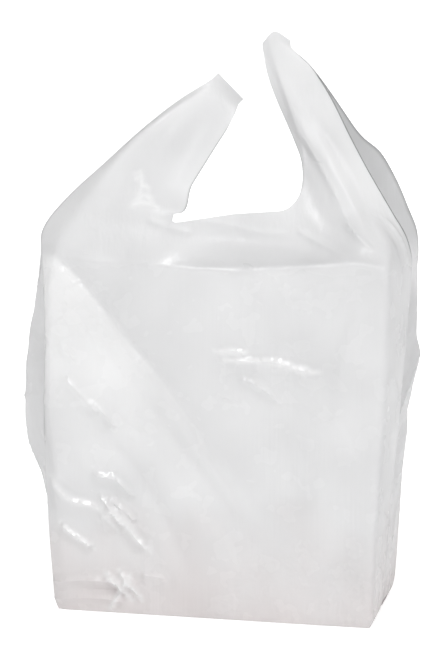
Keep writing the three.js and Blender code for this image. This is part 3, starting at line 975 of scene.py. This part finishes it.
def add_relief(mesh):
    """Moves the smooth film's points to make its folds and crumples."""
    points, normals, place = read_mesh(mesh)
    weights = facings(points, normals, place)
    fixed = place["fixed"] > 0.75
    held = fixed | (place["edge"] > 0.25) | (place["up"] > S - 6) | (place["up"] < 3)
    for name, (axes, folds) in FOLDS.items():
        free = np.flatnonzero((weights[name] > 0.5) & ~held)
        closest, way = crest_distance(points[free][:, axes], folds)
        points[free[:, None], axes] += way * (closest < SNAP)[:, None]
    write_points(mesh, points)
    points, normals, place = read_mesh(mesh)
    strap = place["strap"]
    relief = crumple(points, place) * crumple_weight(points, place)
    for name in ("front", "back", "right", "left"):
        axes, folds = FOLDS[name]
        add_folds(relief, points[:, axes], weights[name], folds)
    relief *= 1 - 0.85 * ramp(place["up"], STRAP_TOP - 55, STRAP_TOP - 8)
    relief[fixed] = 0
    seam = np.zeros(len(points))
    add_folds(seam, points[:, :2], weights["under"], BASE_FOLDS)
    direction = normals * (1 - strap[:, None])
    direction[:, 1] += strap * strap_side(place)
    points += relief[:, None] * direction
    points[:, 2] += seam
    write_points(mesh, points)


def round_mouth_corners(points, closed, webs):
    """Draws the cut edge up in a curve where the mouth meets each handle.

    That moves the columns near the corner, the tube's top rows and the web's first rows.
    """
    columns, near, top, low = closed.shape[1] - 1, 10, 8, 5
    for station, step, web in webs:
        corner = STATION_COLUMN[station] % columns
        start = points[closed[-1, corner]].copy()
        rise = points[web[low]] - start
        rise /= np.linalg.norm(rise)
        for k in range(near):
            column = (corner + step * k) % columns
            gap = np.linalg.norm(points[closed[-1, column]] - start)
            reach = max(0.0, 1 - gap / CORNER_RADIUS)
            lift = CORNER_RADIUS * (1 - math.sqrt(1 - reach**2))
            points[closed[-top:, column]] += lift * steps(top)[:, None] ** 2 * rise
        for k in range(1, low + 1):
            points[web[k]] += CORNER_RADIUS * (1 - k / (low + 1)) * rise


def build_film():
    """The film as one thin closed mesh."""
    mesh = build_mesh(film_sheet())
    refine(mesh)
    add_relief(mesh)
    points, _, _ = read_mesh(mesh)
    write_points(mesh, points * MM)
    for name in PLACE_NAMES:
        if name not in TONES:
            mesh.attributes.remove(mesh.attributes[name])
    bag = add_object("bag_film", mesh)
    solidify = bag.modifiers.new("wall", "SOLIDIFY")
    solidify.thickness = FILM * MM
    solidify.offset = -1.0
    return bag


def apply_modifiers(piece):
    graph = bpy.context.evaluated_depsgraph_get()
    baked = bpy.data.meshes.new_from_object(piece.evaluated_get(graph))
    piece.modifiers.clear()
    piece.data = baked
    baked.shade_smooth()
    baked.set_sharp_from_angle(angle=math.radians(SHARP_ANGLE))


# ---------- materials

class Nodes:
    """Short calls for building the node tree of a material or a sky."""

    def __init__(self, owner):
        owner.use_nodes = True
        self.tree = owner.node_tree
        self.tree.nodes.clear()

    def node(self, kind, inputs=(), **settings):
        """A node of a kind. Each input is a value, or another node's output."""
        made = self.tree.nodes.new(f"ShaderNode{kind}")
        for key, value in settings.items():
            setattr(made, key, value)
        for key, value in dict(inputs).items():
            if isinstance(value, bpy.types.NodeSocket):
                self.tree.links.new(value, made.inputs[key])
            else:
                made.inputs[key].default_value = value
        return made.outputs

    def noise(self, place, scale, detail=2.0):
        return self.node("TexNoise", {"Vector": place, "Scale": scale, "Detail": detail})[0]

    def spread(self, value, low, high, start=0.0, end=1.0):
        """Takes a value from the range low to high on to the range start to end."""
        return self.node("MapRange", {"Value": value, 1: low, 2: high, 3: start, 4: end})[0]

    def combine(self, how, first, second):
        return self.node("Math", {0: first, 1: second}, operation=how)[0]

    def blend(self, share, first, second):
        """A mix of two colours."""
        return self.node("Mix", {0: share, 6: first, 7: second}, data_type="RGBA")[2]


def crinkles(make, place):
    """Height of the finest crinkles: facets between sharp crests, denser in some places than in others."""
    drift = make.node("VectorMath", {0: make.node("TexNoise", {"Vector": place, "Scale": 22.0})[1],
                                     1: (0.03, 0.03, 0.03)}, operation="MULTIPLY")[0]
    bent = make.node("VectorMath", {0: place, 1: drift}, operation="ADD")[0]
    wide = make.node("TexVoronoi", {"Vector": bent, "Scale": 34.0}, distance="MANHATTAN")[0]
    narrow = make.node("TexVoronoi", {"Vector": bent, "Scale": 95.0}, distance="MANHATTAN")[0]
    patches = make.spread(make.noise(place, 11.0), 0.48, 0.68)
    facets = make.combine("ADD", make.combine("MULTIPLY", wide, 0.3), make.combine("MULTIPLY", narrow, 0.35))
    drawn = make.noise(make.node("Mapping", {"Vector": place, "Scale": (260.0, 260.0, 9.0)})[0], 1.0)
    across, _, height = make.node("SeparateXYZ", {0: place})
    calm = make.combine("MULTIPLY", make.spread(height, 0.285, 0.315, 1.0, 0.25),
                        make.spread(across, 0.13, 0.145, 1.0, 0.3))
    patchy = make.combine("MULTIPLY", make.combine("MULTIPLY", facets, patches), calm)
    return make.combine("ADD", patchy, make.combine("MULTIPLY", drawn, 0.12))


# Colours of the film: plain, dull in patches, darker and warmer near the base as painted shade, lighter as
# painted light (partly for a second layer behind it), seen from inside, and dark as painted shade along
# creases, cuts and the right gusset.
PLAIN, DULL = (0.83, 0.83, 0.834, 1), (0.80, 0.80, 0.804, 1)
WARM_BASE_SHADE, PAINTED_LIGHT = (0.76, 0.715, 0.71, 1), (0.94, 0.94, 0.94, 1)
INSIDE, PAINTED_SHADE_GREY = (0.88, 0.882, 0.885, 1), (0.16, 0.165, 0.17, 1)


def film_material():
    """Thin white film: it has a gloss, scatters light, and lets some through. Near the base it is painted
    darker and warmer, as painted shade.
    """
    material = bpy.data.materials.new("white_film")
    make = Nodes(material)
    place = make.node("TexCoord")["Object"]
    height = make.node("SeparateXYZ", {0: place})[2]
    # Painted shade: darker and warmer towards the base.
    low = make.spread(make.combine("ADD", height, make.combine("MULTIPLY", make.noise(place, 14.0), 0.12)),
                      0.16, 0.06)
    tone = make.blend(make.spread(make.noise(place, 10.0, 4.0), 0.35, 0.7), PLAIN, DULL)
    tone = make.blend(make.combine("MULTIPLY", low, 0.8), tone, WARM_BASE_SHADE)
    # Painted light: lighter on the front's upper left (partly for a second layer behind it), on the handles,
    # and as painted glints along small creases.
    tone = make.blend(make.node("Attribute", attribute_name="white")[2], tone, PAINTED_LIGHT)
    inner = make.blend(0.5, tone, INSIDE)
    # Painted shade: dark in the right gusset above the shoulder, along creases and at cut edges.
    pressed = make.combine("POWER", make.node("Attribute", attribute_name="painted_shade")[2], 3.0)
    tone, inner = (make.blend(pressed, colour, PAINTED_SHADE_GREY) for colour in (tone, inner))
    relief = make.node("Bump", {"Height": crinkles(make, place), "Strength": 0.6, "Distance": 0.0033})[0]
    gloss = make.node("BsdfPrincipled", {
        "Base Color": tone,
        "Roughness": make.combine("ADD", make.spread(make.noise(place, 45.0), 0.3, 0.7, 0.19, 0.31),
                                  make.spread(height, 0.297, 0.313, 0.0, 0.13)),
        "Normal": relief,
    })[0]
    through = make.node("BsdfTranslucent", {"Color": inner, "Normal": relief})[0]
    share = make.spread(make.noise(place, 18.0), 0.3, 0.7, 0.5, 0.4)
    surface = make.node("MixShader", {0: share, 1: gloss, 2: through})
    make.node("OutputMaterial", {"Surface": surface[0]})
    return material


def floor_material():
    """A pale light table: it keeps the bag's own shadow faint."""
    material = bpy.data.materials.new("pale_floor")
    make = Nodes(material)
    matt = make.node("BsdfPrincipled", {
        "Base Color": (0.92, 0.92, 0.92, 1),
        "Roughness": 0.9,
        "Emission Color": (1, 1, 1, 1),
        "Emission Strength": FLOOR_GLOW,
    })
    make.node("OutputMaterial", {"Surface": matt[0]})
    return material


# ---------- the studio

def camera():
    """A long lens, a little above and to the right of the bag's front."""
    data = bpy.data.cameras.new("camera")
    data.lens = LENS
    data.shift_x = SHIFT_X
    data.shift_y = SHIFT_Y
    turn, lift = math.radians(TURN), math.radians(LIFT)
    aim = Vector((0, 0, AIM_HEIGHT))
    away = Vector((math.sin(turn) * math.cos(lift), -math.cos(turn) * math.cos(lift), math.sin(lift)))
    eye = add_object("camera", data)
    eye.location = aim + DISTANCE * away
    eye.rotation_euler = (-away).to_track_quat("-Z", "Y").to_euler()
    bpy.context.scene.camera = eye


def sunlight(name, power, heading, spread):
    """A soft sun that heads one way. Its spread is in degrees."""
    data = bpy.data.lights.new(name, "SUN")
    data.energy = power
    data.angle = math.radians(spread)
    light = add_object(name, data)
    light.rotation_euler = Vector(heading).to_track_quat("-Z", "Y").to_euler()


def sky():
    """An even white sky, a little brighter to the right than to the left."""
    world = bpy.data.worlds.new("studio")
    make = Nodes(world)
    across = make.node("SeparateXYZ", {0: make.node("TexCoord")["Generated"]})["X"]
    level = make.node("Math", {0: across, 1: SKY_TILT, 2: SKY_LEVEL}, operation="MULTIPLY_ADD")[0]
    light = make.node("Background", {"Color": (1, 1, 1, 1), "Strength": level})[0]
    make.node("OutputWorld", {"Surface": light})
    bpy.context.scene.world = world


def studio():
    """A wide pale floor under a white sky, with three soft suns.

    The key light comes down over the viewer's shoulder, the rake comes in from the upper right and picks out
    the creases, and the back light comes through the film from behind.
    """
    sky()
    floor = bpy.data.meshes.new("floor")
    half = FLOOR_SIZE / 2
    corners = [(-half, -half, 0), (half, -half, 0), (half, half, 0), (-half, half, 0)]
    floor.from_pydata(corners, [], [(0, 1, 2, 3)])
    ground = add_object("floor", floor)
    ground.location.z = -FLOOR_DROP
    floor.materials.append(floor_material())
    sunlight("key", KEY_POWER, (0.06, 0.66, -0.75), 10)
    sunlight("rake", RAKE_POWER, (-0.46, 0.50, -0.73), 6)
    sunlight("back", BACK_POWER, (0.22, -0.76, -0.61), 10)
    view = bpy.context.scene.view_settings
    view.view_transform = "Standard"


# ---------- the scene

camera()
studio()
bag = build_film()
apply_modifiers(bag)
bag.data.materials.append(film_material())
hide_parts("carrier_bag")
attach(bag, "root")
